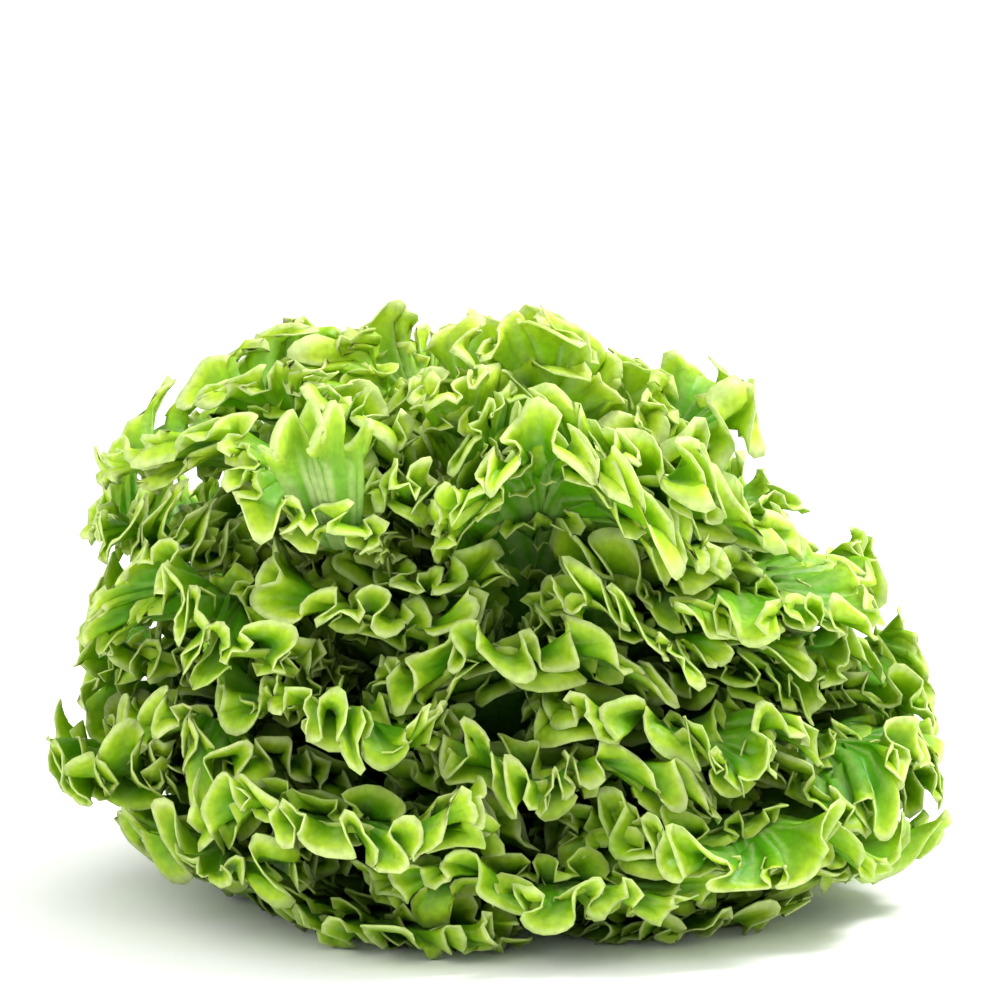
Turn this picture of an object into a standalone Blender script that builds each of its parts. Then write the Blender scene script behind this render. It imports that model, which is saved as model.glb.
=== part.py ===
"""Leaf lettuce: a short cut stem with its frilled leaves round it, each leaf one closed solid.

Metres, +Z up. The head stands on the cut end of its stem, as in the photo, and +X is its
longest way. Every leaf has a cell of its own in the head: a sector round the stem, between
two cones. One map bends and curls all the cells together, so no leaf can cross another.
"""

import math
import random

import bmesh
import bpy
import numpy as np

# The whole head
CROWN_HEIGHT = 0.028          # middle of the stem's rounded top, where the leaves grow from
HEAD_DEPTH = 0.146            # reach from the crown to the front and to the back
UNDER_DEPTH = 0.038           # how soon the head's outline tucks in below the crown
# Reach from the crown, seen from the front, by the angle from straight up (right is plus)
FRONT_ANGLE = (-180, -125, -100, -92, -83, -75, -62, -53, -45, -39, -34, -27, -21, -9, 0,
               11, 25, 31, 35, 40, 52, 58, 65, 79, 86, 98, 125, 180)
FRONT_REACH = (0.084, 0.106, 0.128, 0.140, 0.155, 0.168, 0.178, 0.182, 0.195, 0.195, 0.186, 0.184,
               0.172, 0.181, 0.191, 0.191, 0.187, 0.181, 0.168, 0.155, 0.152, 0.160, 0.158, 0.160,
               0.166, 0.154, 0.106, 0.084)

# Stem
STEM_RADIUS = 0.021
CUT_RADIUS = 0.016
STEM_STEPS = 24

# Leaves
# Leaves in each ring and the turn of the first in degrees, from the heart outwards
RINGS = ((2, 10), (3, 70), (3, 15), (4, -90), (4, -135), (4, -163), (4, -118), (5, -127),
         (5, -163), (5, -127), (5, -158), (5, -123), (5, -159), (5, -121))
HEART_RINGS, MIDDLE_RINGS = 3, 5
SHORT_LEAVES = {21: 0.76, 24: 0.76, 25: 0.82, 26: 0.86}   # the photo shows those behind them
LEAF_START = 0.0225           # distance from the crown's middle to where a leaf begins
FLOOR_ANGLE = math.radians(100.8)
FIRST_LAYER = 0.03            # space kept free round the axis, as a share of the layers
RIPPLE = math.radians(4.0)    # wide waves that neighbours share
DROOP = math.radians(15)
RIGHT_FRONT, RIGHT_DROOP = math.radians(-42), math.radians(18)
LEFT_FRONT, LEFT_CURL = math.radians(-155), math.radians(26)
CELL_FILL = 0.80              # share of the cell that the folds may use
LEAF_GAP = 0.0022             # between the sides of two leaves in one ring
STALK_HALF_WIDTH = 0.0075
FLATTER_LEAVES = {17: 0.60}     # share of the usual fold depth, where the blade shows
BLADE = 0.0007
RIB = 0.0022
HEART_RIB = 0.0012            # the youngest leaves have hardly any rib yet

# Frill
LOBE_PITCH = 0.0102           # one fold of the edge
FOLD_DEPTH = 0.052            # how far in from the edge the folds begin
FLOOR_PRESS = 0.35            # share of their height that the lowest leaves' folds lose
HEART_PRESS = 0.30            # the same for the tight leaves of the heart
CALM_LEAVES = (1, 2, 3, 5, 8, 12, 16, 18, 41, 45, 57)   # those whose folds bunch up
CALM = 0.72                   # share of the usual fold size on these
DIP = 0.20                    # how deep the slow dips in the edge are

GREENS = {
    "heart leaf, pale yellow green": (0.42, 0.62, 0.10),
    "middle leaf, bright green": (0.26, 0.50, 0.05),
    "outer leaf, mid green": (0.18, 0.40, 0.03),
}
STEM_CREAM = (0.72, 0.74, 0.48)


def smooth(x, start, end):
    share = np.clip((x - start) / (end - start), 0, 1)
    return share * share * (3 - 2 * share)


def head_reach(phi, alpha):
    """Distance from the crown's middle to the outside of the head."""
    ex, ey, ez = np.sin(alpha) * np.cos(phi), np.sin(alpha) * np.sin(phi), np.cos(alpha)
    front = np.interp(np.degrees(np.arctan2(ex, ez)), FRONT_ANGLE, FRONT_REACH)
    under = np.where(ez < 0, (ez / UNDER_DEPTH) ** 2, 0)
    return 1 / np.sqrt((ex ** 2 + ez ** 2) / front ** 2 + (ey / HEAD_DEPTH) ** 2 + under)


def lean(phi, layer, out):
    """Share of the layers by which the rings tilt and sag, so that they aren't level."""
    sway = (0.50 * np.sin(2 * phi + 0.6 + 2.0 * layer)
            + 0.34 * np.sin(3 * phi + 2.1 - 2.5 * layer)
            + 0.26 * np.sin(5 * phi + 4.0 + 2.5 * layer))
    return 0.075 * np.sin(math.pi * layer) * smooth(out, 0.15, 0.9) * sway


def swirl(phi, layer, out):
    """Angle by which the leaves curl round the stem on their way out, most at the left front."""
    near = np.exp(4 * (np.cos(phi - LEFT_FRONT) - 1))
    slow = 0.10 * np.sin(2 * phi + 1.0 + 4 * layer) + 0.06 * np.sin(3 * phi + 3.0 - 5 * layer)
    return (LEFT_CURL * near + slow) * smooth(out, 0.25, 1.0)


def ripple(phi, layer, out):
    """Angle of the wide waves that neighbouring leaves share."""
    low = smooth(layer, 0.25, 0.55)
    wide = np.sin(14 * phi + 3.0 * layer + 1.0) + 0.6 * np.sin(21 * phi - 3.5 * layer + 4.0)
    tight = np.sin(7 * phi + 3.0 * layer + 2.0) + 0.6 * np.sin(10 * phi - 3.5 * layer + 0.5)
    tight = tight * smooth(layer, 0.0, 0.2)
    ends = smooth(layer, 0.0, 0.12) * (1 - smooth(layer, 0.62, 1.0))
    edge = smooth(out, 0.47, 1.0) ** 1.5
    return RIPPLE * ends * edge * (low * wide + (1 - low) * tight)


def bend(layer):
    """Share of the droop by layer: none on the axis or on the floor, full a third of the way."""
    return smooth(layer, 0, 0.35) * (1 - layer) / 0.65


def droop(phi, layer, out):
    """Angle by which the leaves bend outwards near their tips, most at the right front."""
    near = np.exp(7 * (np.cos(phi - RIGHT_FRONT) - 1))
    return (DROOP + RIGHT_DROOP * near) * bend(layer) * smooth(out, 0.47, 1.08)


def place(phi, out, layer):
    """Point of the head: angle round the stem, share of the way out, and layer.

    The layer is 0 on the axis and 1 on the surface that the head stands on.
    """
    phi = phi + swirl(phi, layer, out)
    layer = layer + lean(phi, layer, out)
    reach = head_reach(phi, layer * FLOOR_ANGLE + droop(phi, layer, 1.0))
    rho = LEAF_START + out * (reach - LEAF_START)
    floor = np.arccos(np.clip(-CROWN_HEIGHT / rho, -0.47, 1))
    alpha = layer * floor + droop(phi, layer, out) + ripple(phi, layer, out)
    x = rho * np.sin(alpha) * np.cos(phi)
    y = rho * np.sin(alpha) * np.sin(phi)
    z = CROWN_HEIGHT + rho * np.cos(alpha)
    return np.stack([x, y, np.maximum(z, BLADE / 2)], -1)


def ring_layers():
    """Layers where the rings begin and end, set so that their drooping edges are evenly spaced."""
    layer = np.linspace(0, 1, 400)
    bent = layer + DROOP / FLOOR_ANGLE * bend(layer)
    return np.interp(np.linspace(FIRST_LAYER, 1, len(RINGS) + 1), bent, layer)


class Leaf:
    """One leaf: its cell, its outline in the cell, and the folds of its edge."""

    def __init__(self, number, ring, layers, phi, half_angle, tip):
        self.number, self.ring = number, ring
        self.phi, self.half_angle, self.tip = phi, half_angle, tip
        self.layer = (layers[1] + layers[0]) / 2
        self.half_layer = (layers[1] - layers[0]) / 2
        self.fold_depth = FOLD_DEPTH * FLATTER_LEAVES.get(number, 1)
        self.draw = random.Random(400 + number)
        self.measure()
        self.fold()

    def outline(self, way):
        """Side share and out share of one half of the edge, way 0 at the stalk to 1 at the tip."""
        lower = np.clip(way / 0.5, 0, 1)
        ring_radius = LEAF_START * math.sin(self.layer * FLOOR_ANGLE)
        stalk = min(0.72, STALK_HALF_WIDTH / (ring_radius * self.half_angle))
        widest = 0.60 * self.tip
        low_side = stalk + (1 - stalk) * np.sin(math.pi / 2 * lower) ** 0.85
        turn = np.clip((way - 0.5) / 0.5, 0, 1) * math.pi / 2
        high_side = np.cos(turn) ** 0.62
        high_out = widest + (self.tip - widest) * np.sin(turn) ** 0.62
        upper = way > 0.5
        return np.where(upper, high_side, low_side), np.where(upper, high_out, widest * lower)

    def measure(self):
        """Tables of the edge by the length along it, and of the veins that end there."""
        side, out = self.outline(np.linspace(0, 1, 2001))
        points = place(self.phi + side * self.half_angle, out, self.layer)
        steps = np.linalg.norm(np.diff(points, axis=0), axis=1)
        run = np.concatenate([[0], np.cumsum(steps)])
        self.edge_length = run[-1]
        self.share = np.linspace(0, 1, 400)
        self.edge_side = np.interp(self.share * run[-1], run, side)
        self.edge_out = np.interp(self.share * run[-1], run, out)
        self.rib_out = 0.80 * self.tip * self.share ** 1.1
        along = np.linspace(0, 1, 25)
        side, out = self.vein(self.share[:, None], along[None, :])
        points = place(self.phi + side * self.half_angle, out, self.layer)
        self.vein_length = np.linalg.norm(np.diff(points, axis=1), axis=2).sum(axis=1)

    def vein(self, share, along):
        """Side and out shares of a point on the vein that ends at this share of the edge."""
        side = np.interp(share, self.share, self.edge_side)
        out = np.interp(share, self.share, self.edge_out)
        root = np.interp(share, self.share, self.rib_out)
        bend_side, bend_out = 0.42 * side, root + 0.72 * (out - root)
        back = 1 - along
        vein_side = 2 * back * along * bend_side + along ** 2 * side
        vein_out = back ** 2 * root + 2 * back * along * bend_out + along ** 2 * out
        return vein_side, vein_out

    def fold(self):
        """The folds one after another round the edge, from -1 at one stalk side to 1 at the other."""
        count = max(8, round(2 * self.edge_length / LOBE_PITCH))
        widths = [self.draw.uniform(0.8, 1.25) for _ in range(count)]
        ends = np.cumsum(widths)
        self.fold_at = -1 + 2 * (ends - np.array(widths) / 2) / ends[-1]
        sizes = np.array([self.draw.uniform(0.76, 1.0) for _ in range(count)])
        pressed = 1 - FLOOR_PRESS * smooth(self.layer, 0.78, 0.96)
        pressed -= HEART_PRESS * (1 - smooth(self.layer, 0.04, 0.16))
        if self.number in CALM_LEAVES:
            pressed = pressed * CALM
        self.fold_size = sizes * pressed * smooth(1 - np.abs(self.fold_at), 0.08, 0.4)
        self.fold_reach = np.array([self.draw.uniform(-0.007, 0.002) for _ in range(count)])
        self.dip_phase = [self.draw.uniform(0, 2 * math.pi) for _ in range(2)]

    def length_at(self, at):
        """Length of the vein to the frilled edge, with the edge's slow dips."""
        share = 1 - np.abs(at)
        wave = 11 * at + self.dip_phase[0] + 1.2 * np.sin(4 * at + self.dip_phase[1])
        dip = DIP * (0.5 + 0.5 * np.sin(wave)) ** 2 * smooth(share, 0.2, 0.5)
        length = np.interp(share, self.share, self.vein_length) * (1 - dip)
        return length + np.interp(at, self.fold_at, self.fold_reach)

    def point(self, at, along, height=0.0):
        """Point on the vein that ends at this place of the edge, raised by a share of the cell."""
        share = 1 - np.abs(at)
        along = along * self.length_at(at) / np.interp(share, self.share, self.vein_length)
        side, out = self.vein(share, along)
        reach = LEAF_START + out * 0.125
        half_thick = reach * self.half_layer * FLOOR_ANGLE
        height = height * (CELL_FILL - BLADE / half_thick)
        phi = self.phi + np.sign(at) * side * self.half_angle
        return place(phi, out, self.layer + height * self.half_layer)

    def folded_row(self, depth_share, corners):
        """Row of points at the folds, with one or two corners on each."""
        count = len(self.fold_at)
        fold = np.repeat(np.arange(count), corners)
        pitch = 2 / count
        shift = np.tile(np.linspace(-0.5, 0.5, corners) if corners > 1 else [0.0], count) * pitch
        height = np.where(fold % 2 == 0, 1, -1) * self.fold_size[fold]
        height = height * (0.62 * depth_share ** 1.15 + 0.38 * depth_share ** 5)
        at = np.concatenate([[-1], np.clip(self.fold_at[fold] + shift, -0.999, 0.999), [1]])
        height = np.concatenate([[0], height, [0]])
        length = self.length_at(at)
        depth = np.minimum(self.fold_depth, 0.62 * length)
        along = 1 - (1 - depth_share + 0.16 * np.abs(height) * depth_share ** 5) * depth / length
        return at, self.point(at, along, height)

    def flat_row(self, count, along):
        """Row of points on the unfolded blade, along a share of each vein."""
        at = np.linspace(-1, 1, count)
        return at, self.point(at, along)


def zip_rows(bm, low, high):
    """Lofts triangles between two rows that have different numbers of points."""
    (low_at, low_verts), (high_at, high_verts) = low, high
    i = j = 0
    while i < len(low_at) - 1 or j < len(high_at) - 1:
        step_low = j == len(high_at) - 1
        if i < len(low_at) - 1 and not step_low:
            step_low = low_at[i + 1] + low_at[i] < high_at[j + 1] + high_at[j]
        if step_low:
            bm.faces.new((low_verts[i], low_verts[i + 1], high_verts[j]))
            i += 1
        else:
            bm.faces.new((low_verts[i], high_verts[j + 1], high_verts[j]))
            j += 1


def blade_mesh(leaf, name):
    """The leaf as an open sheet of triangles, with the rib's weight on its points."""
    bm = bmesh.new()
    weight = bm.verts.layers.deform.verify()
    rib_steps = 5
    at, points = leaf.flat_row(2 * rib_steps + 1, 0.0)
    half = [bm.verts.new(p) for p in points[: rib_steps + 1]]
    for step, vert in enumerate(half):
        vert[weight][0] = 1 - step / rib_steps
    rows = [(at, half + half[-2::-1])]
    plan = [leaf.flat_row(2 * rib_steps + 1, 0.11), leaf.flat_row(19, 0.60), leaf.folded_row(1.0, 1)]
    for at, points in plan:
        rows.append((at, [bm.verts.new(p) for p in points]))
    for low, high in zip(rows, rows[1:]):
        zip_rows(bm, low, high)
    mesh = bpy.data.meshes.new(name)
    bm.to_mesh(mesh)
    bm.free()
    return mesh


def add_leaf(leaf, material, collection):
    name = f"leaf_{leaf.number:02d}"
    obj = bpy.data.objects.new(name, blade_mesh(leaf, name))
    obj.vertex_groups.new(name="rib")
    collection.objects.link(obj)
    obj.data.materials.append(material)
    thick = obj.modifiers.new("thickness", "SOLIDIFY")
    thick.thickness = HEART_RIB if leaf.ring < HEART_RINGS else RIB
    thick.offset = 0
    thick.vertex_group = "rib"
    thick.thickness_vertex_group = BLADE / thick.thickness
    return obj


def add_stem(material, collection):
    """The stem, turned from its profile: a rounded crown, and a flat cut end below."""
    lowest = math.radians(125)
    rounds = [lowest * step / 7 for step in range(8)]
    profile = [(STEM_RADIUS * math.sin(a), CROWN_HEIGHT + STEM_RADIUS * math.cos(a)) for a in rounds]
    profile += [(CUT_RADIUS, 0.0015), (CUT_RADIUS - 0.0015, 0.0), (0.0, 0.0)]
    mesh = bpy.data.meshes.new("stem")
    points = [(x, 0.0, z) for x, z in profile]
    mesh.from_pydata(points, [(i, i + 1) for i in range(len(points) - 1)], [])
    obj = bpy.data.objects.new("stem", mesh)
    collection.objects.link(obj)
    mesh.materials.append(material)
    turn = obj.modifiers.new("turn", "SCREW")
    turn.steps = turn.render_steps = STEM_STEPS
    turn.use_merge_vertices = True
    turn.merge_threshold = 0.00005
    turn.use_smooth_shade = True
    return obj


def make_material(name, colour, roughness):
    material = bpy.data.materials.new(name)
    material.use_nodes = True
    shader = material.node_tree.nodes["Principled BSDF"]
    shader.inputs["Base Color"].default_value = (*colour, 1)
    shader.inputs["Roughness"].default_value = roughness
    return material


def plan_leaves():
    """All leaves, from the heart outwards, ring by ring."""
    draw = random.Random(5)
    leaves = []
    layers = ring_layers()
    for ring, (count, turn) in enumerate(RINGS):
        ends = layers[ring:ring + 2]
        radius = max(0.105 * math.sin(ends.mean() * FLOOR_ANGLE), 0.008)
        half_angle = math.pi / count - LEAF_GAP / 2 / radius
        for place_in_ring in range(count):
            number = len(leaves) + 1
            phi = math.radians(turn) + 2 * math.pi * place_in_ring / count
            tip = SHORT_LEAVES.get(number, 1 - draw.uniform(0.0, 0.16))
            leaves.append(Leaf(number, ring, ends, phi, half_angle, tip))
    return leaves


def centre(objects):
    """Moves the objects so that the middle of the whole head is over the origin."""
    graph = bpy.context.evaluated_depsgraph_get()
    points = []
    for obj in objects:
        points += [vert.co.copy() for vert in obj.evaluated_get(graph).to_mesh().vertices]
    for axis in (0, 1):
        values = [point[axis] for point in points]
        for obj in objects:
            obj.location[axis] = -(min(values) + max(values)) / 2


def main():
    for obj in list(bpy.data.objects):
        bpy.data.objects.remove(obj)
    collection = bpy.data.collections.new("leaf lettuce")
    bpy.context.scene.collection.children.link(collection)
    greens = [make_material(name, colour, 0.45) for name, colour in GREENS.items()]
    stem = add_stem(make_material("cut stem, cream", STEM_CREAM, 0.55), collection)
    leaves = []
    for leaf in plan_leaves():
        shade = (leaf.ring >= HEART_RINGS) + (leaf.ring >= HEART_RINGS + MIDDLE_RINGS)
        leaves.append(add_leaf(leaf, greens[shade], collection))
    centre([stem, *leaves])


if __name__ == "__main__":
    main()
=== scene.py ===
"""Frilly leaf lettuce, dressed for its render: fine frilled blades on every leaf and a cut stem.

All lengths are in metres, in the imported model's own frame. Each leaf follows the same formulas
as its solid, with the folds, scallops, veins and rim that are too fine for the solid.
"""

import logging
import math
import random
from dataclasses import dataclass, field
from enum import Enum

import bpy
import numpy as np
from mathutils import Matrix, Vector


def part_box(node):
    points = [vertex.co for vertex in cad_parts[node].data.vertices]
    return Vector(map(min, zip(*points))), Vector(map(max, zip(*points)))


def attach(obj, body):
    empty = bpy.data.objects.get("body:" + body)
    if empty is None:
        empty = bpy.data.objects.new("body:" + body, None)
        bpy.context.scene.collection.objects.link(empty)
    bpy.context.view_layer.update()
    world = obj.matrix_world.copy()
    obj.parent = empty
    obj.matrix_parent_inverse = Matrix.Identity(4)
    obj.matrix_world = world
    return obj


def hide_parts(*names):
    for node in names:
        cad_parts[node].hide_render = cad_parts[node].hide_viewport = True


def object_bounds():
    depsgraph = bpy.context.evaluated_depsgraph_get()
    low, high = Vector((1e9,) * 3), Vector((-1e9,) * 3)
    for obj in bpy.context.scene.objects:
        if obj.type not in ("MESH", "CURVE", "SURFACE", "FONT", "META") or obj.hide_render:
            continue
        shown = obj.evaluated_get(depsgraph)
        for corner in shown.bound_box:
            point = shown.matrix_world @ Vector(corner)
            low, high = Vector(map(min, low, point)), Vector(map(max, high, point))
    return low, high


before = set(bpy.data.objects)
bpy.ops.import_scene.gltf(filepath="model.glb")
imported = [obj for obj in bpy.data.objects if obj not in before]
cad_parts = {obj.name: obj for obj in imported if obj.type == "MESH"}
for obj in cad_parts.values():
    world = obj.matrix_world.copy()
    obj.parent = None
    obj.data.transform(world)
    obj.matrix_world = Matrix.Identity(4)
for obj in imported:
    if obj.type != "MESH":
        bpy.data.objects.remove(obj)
CAD_LOW, CAD_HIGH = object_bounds()

log = logging.getLogger("leaf_lettuce")


def smooth(x: np.ndarray, start: float, end: float) -> np.ndarray:
    """Smooth step.

    Args:
        x: Values to map.
        start: Value that maps to 0.
        end: Value that maps to 1.

    Returns:
        The values from 0 to 1, level at both ends.
    """
    share = np.clip((x - start) / (end - start), 0, 1)
    return share * share * (3 - 2 * share)


def linear(hex_code: str) -> tuple[float, float, float, float]:
    """Turns an sRGB hex colour to linear.

    Args:
        hex_code: Six hex digits.

    Returns:
        Linear red, green, blue and an alpha of 1.
    """
    parts = [int(hex_code[i:i + 2], 16) / 255 for i in (0, 2, 4)]
    red, green, blue = (c / 12.92 if c <= 0.04045 else ((c + 0.055) / 1.055) ** 2.4 for c in parts)
    return red, green, blue, 1.0


def add_node(tree: bpy.types.NodeTree, kind: str, inputs: dict | None = None,
             **settings: str) -> bpy.types.Node:
    """Adds one node.

    Args:
        tree: Node tree that gets it.
        kind: Blender's name of the node type.
        inputs: What each input socket, by name or number, gets: another node's output socket, a
            number, a vector or a hex colour.
        settings: Properties by name.

    Returns:
        The new node.
    """
    node = tree.nodes.new(kind)
    for name, value in settings.items():
        setattr(node, name, value)
    for socket, value in (inputs or {}).items():
        if isinstance(value, bpy.types.NodeSocket):
            tree.links.new(value, node.inputs[socket])
        else:
            node.inputs[socket].default_value = linear(value) if isinstance(value, str) else value
    return node


def empty_material(name: str) -> bpy.types.Material:
    """Makes a material without nodes.

    Args:
        name: What the real thing is.

    Returns:
        The new material.
    """
    material = bpy.data.materials.new(name)
    material.use_nodes = True
    material.node_tree.nodes.clear()
    return material


def added_up(steps: np.ndarray) -> np.ndarray:
    """Adds steps up, from 0."""
    return np.concatenate([[0], np.cumsum(steps)])


def points_of(mesh: bpy.types.Mesh) -> np.ndarray:
    """Reads the mesh's points.

    Args:
        mesh: A fresh primitive.

    Returns:
        One row for each vertex.
    """
    flat = np.empty(len(mesh.vertices) * 3, np.float32)
    mesh.vertices.foreach_get("co", flat)
    return flat.reshape(-1, 3)


# What each leaf's mesh tells its finish, point by point: nearness to the rim, how much painted
# shade it gets deep in the head and at the roots of the folds (0 darkest), whether it is on a vein,
# and how yellow the leaf is
MESH_VALUES = ("edge", "depth", "vein", "tone")


class Age(Enum):
    """Where in the head a leaf grows, with the word for it that goes into its piece's name."""

    HEART = "heart_leaf"
    MIDDLE = "middle_leaf"
    OUTER = "outer_leaf"


@dataclass(frozen=True)
class LeafFinish:
    """Living lettuce leaf: a thin waxy blade that glows where light passes through it."""

    name: str
    shade: str          # painted shade deep between the leaves and at the roots of the folds
    blade: str          # face of the blade
    frill: str          # frill, where the leaf is thinner and younger
    lip: str            # last 3 mm, on the lip that curls outwards
    rim: str            # very edge: paler like the young frill, with a painted highlight on top
    vein: str           # rib and side veins, which hold little green
    glow: str           # light that has passed through the blade
    roughness: float = 0.42      # waxy, so highlights are soft
    gloss: float = 0.28          # faint highlights, because the wax is thin
    light_through: float = 0.28  # share of the light that the thin blade lets pass
    patch: float = 0.020         # width of yellower patches, in metres
    mottle: float = 0.0025       # width of faint mottling between the small veins
    blister: float = 1 / 260     # width of the blisters between the side veins, about 4 mm
    blister_height: float = 0.0007

    def ramp(self, tree: bpy.types.NodeTree, factor: bpy.types.NodeSocket) -> bpy.types.Node:
        """Colour across the blade.

        Args:
            tree: The material's nodes.
            factor: Socket that runs from 0 at the rib to 1 at the rim.

        Returns:
            The colour ramp node.
        """
        node = add_node(tree, "ShaderNodeValToRGB", {0: factor})
        # The last stop, at the rim, is partly the leaf's own pale edge and partly a painted
        # highlight
        stops = ((0.0, self.vein), (0.06, self.blade), (0.76, self.blade), (0.895, self.frill),
                 (0.955, self.lip), (0.985, self.rim))
        while len(node.color_ramp.elements) < len(stops):
            node.color_ramp.elements.new(0.5)
        for element, (place, colour) in zip(node.color_ramp.elements, stops):
            element.position = place
            element.color = linear(colour)
        return node

    def make(self) -> bpy.types.Material:
        """Builds the material.

        Returns:
            A material that mixes a waxy surface with light let through the leaf.
        """
        material = empty_material(self.name)
        tree = material.node_tree
        edge, depth, vein, tone = (
            add_node(tree, "ShaderNodeAttribute", attribute_name=name).outputs["Fac"]
            for name in MESH_VALUES)
        place = add_node(tree, "ShaderNodeTexCoord").outputs["Object"]
        patch, mottle, blister = (
            add_node(tree, "ShaderNodeTexNoise",
                     {"Vector": place, "Scale": 1 / size, "Detail": detail}).outputs["Fac"]
            for size, detail in ((self.patch, 2.0), (self.mottle, 3.0), (self.blister, 1.0)))
        ramp = self.ramp(tree, edge).outputs["Color"]
        veined = add_node(tree, "ShaderNodeMix", {0: vein, 6: ramp, 7: self.vein}, data_type="RGBA")
        # Yellower patches look like parts that grew in the light
        yellow = add_node(tree, "ShaderNodeMapRange", {0: patch, 1: 0.35, 2: 0.75, 4: 0.55})
        toned = add_node(tree, "ShaderNodeMath", {0: yellow.outputs[0], 1: tone},
                         operation="MULTIPLY")
        warmed = add_node(tree, "ShaderNodeMix",
                          {0: toned.outputs[0], 6: veined.outputs[2], 7: self.frill},
                          data_type="RGBA")
        # Painted shade: deep between the leaves and at the roots of the folds the blade is darkened
        # towards a dark green
        deep = add_node(tree, "ShaderNodeMix", {0: depth, 6: self.shade, 7: warmed.outputs[2]},
                        data_type="RGBA")
        # Faint mottling keeps the blade from looking painted
        value = add_node(tree, "ShaderNodeMapRange", {0: mottle, 1: 0.3, 2: 0.7, 3: 0.80, 4: 1.13})
        colour = add_node(tree, "ShaderNodeHueSaturation",
                          {"Value": value.outputs[0], "Color": deep.outputs[2]})
        # Blisters stand up between the veins, and the veins are sunk
        raised = add_node(tree, "ShaderNodeMath", {0: vein, 1: -0.6, 2: blister},
                          operation="MULTIPLY_ADD")
        bump = add_node(tree, "ShaderNodeBump",
                        {"Strength": 0.5, "Distance": self.blister_height,
                         "Height": raised.outputs[0]})
        surface = add_node(tree, "ShaderNodeBsdfPrincipled",
                           {"Roughness": self.roughness, "Specular IOR Level": self.gloss,
                            "Base Color": colour.outputs[0], "Normal": bump.outputs[0]})
        # The light let through is darkened by the same painted shade
        glow = add_node(tree, "ShaderNodeMix", {0: depth, 6: self.shade, 7: self.glow},
                        data_type="RGBA")
        through = add_node(tree, "ShaderNodeBsdfTranslucent", {"Color": glow.outputs[2]})
        both = add_node(tree, "ShaderNodeMixShader",
                        {0: self.light_through, 1: surface.outputs[0], 2: through.outputs[0]})
        add_node(tree, "ShaderNodeOutputMaterial", {"Surface": both.outputs[0]})
        return material


FINISHES = {
    # Young and shaded till lately: yellow green, palest at the curled lip
    Age.HEART: LeafFinish(
        "heart lettuce leaf", shade="508E0A", blade="8AC41A", frill="B0D424", lip="D0E548",
        rim="E8F3A8", vein="DDE9B0", glow="D8F024"),
    # Bright green with yellow-green frills and cream rims, which are partly a painted highlight
    Age.MIDDLE: LeafFinish(
        "lettuce leaf", shade="30720A", blade="62B00C", frill="9CCA18", lip="C8E23C",
        rim="E2EF9E", vein="D3E29C", glow="CAEC1C"),
    # Oldest and greenest, with the same pale rims, partly a painted highlight
    Age.OUTER: LeafFinish(
        "outer lettuce leaf", shade="28660A", blade="56A40C", frill="90C014", lip="BEDA34",
        rim="DEEB98", vein="C8DA8C", glow="C0E416"),
}


@dataclass(frozen=True)
class StemFinish:
    """Cut lettuce stem: wet cream pith, greener round the outside, browned where it was cut."""

    name: str = "cut lettuce stem"
    pith: str = "E9E7C4"
    skin: str = "C9D79A"
    cut: str = "C9A97A"
    fibre: float = 1 / 900       # distance between the fibres, in metres
    roughness: float = 0.38      # wet, so it shines a little more than the leaves

    def make(self, cut_height: float) -> bpy.types.Material:
        """Builds the material.

        Args:
            cut_height: Height up to which the cut has browned.

        Returns:
            A slightly wet material, coloured by height.
        """
        material = empty_material(self.name)
        tree = material.node_tree
        place = add_node(tree, "ShaderNodeTexCoord").outputs["Object"]
        height = add_node(tree, "ShaderNodeSeparateXYZ", {0: place}).outputs["Z"]
        # Fibres run up the stem about 1 mm apart
        stretch = add_node(tree, "ShaderNodeMapping", {"Vector": place, "Scale": (1.0, 1.0, 0.08)})
        fibre = add_node(tree, "ShaderNodeTexNoise",
                         {"Vector": stretch.outputs[0], "Scale": 1 / self.fibre,
                          "Detail": 2.0}).outputs["Fac"]
        greened = add_node(tree, "ShaderNodeMapRange", {0: fibre, 1: 0.3, 2: 0.7, 3: 0.2})
        skin = add_node(tree, "ShaderNodeMix", {0: greened.outputs[0], 6: self.pith, 7: self.skin},
                        data_type="RGBA")
        # The cut end has browned in the air
        browned = add_node(tree, "ShaderNodeMapRange", {0: height, 2: cut_height, 3: 1.0, 4: 0.0})
        colour = add_node(tree, "ShaderNodeMix",
                          {0: browned.outputs[0], 6: skin.outputs[2], 7: self.cut},
                          data_type="RGBA")
        bump = add_node(tree, "ShaderNodeBump",
                        {"Strength": 0.3, "Distance": 0.0004, "Height": fibre})
        surface = add_node(tree, "ShaderNodeBsdfPrincipled",
                           {"Roughness": self.roughness, "IOR": 1.4,
                            "Base Color": colour.outputs[2], "Normal": bump.outputs[0]})
        add_node(tree, "ShaderNodeOutputMaterial", {"Surface": surface.outputs[0]})
        return material


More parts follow.
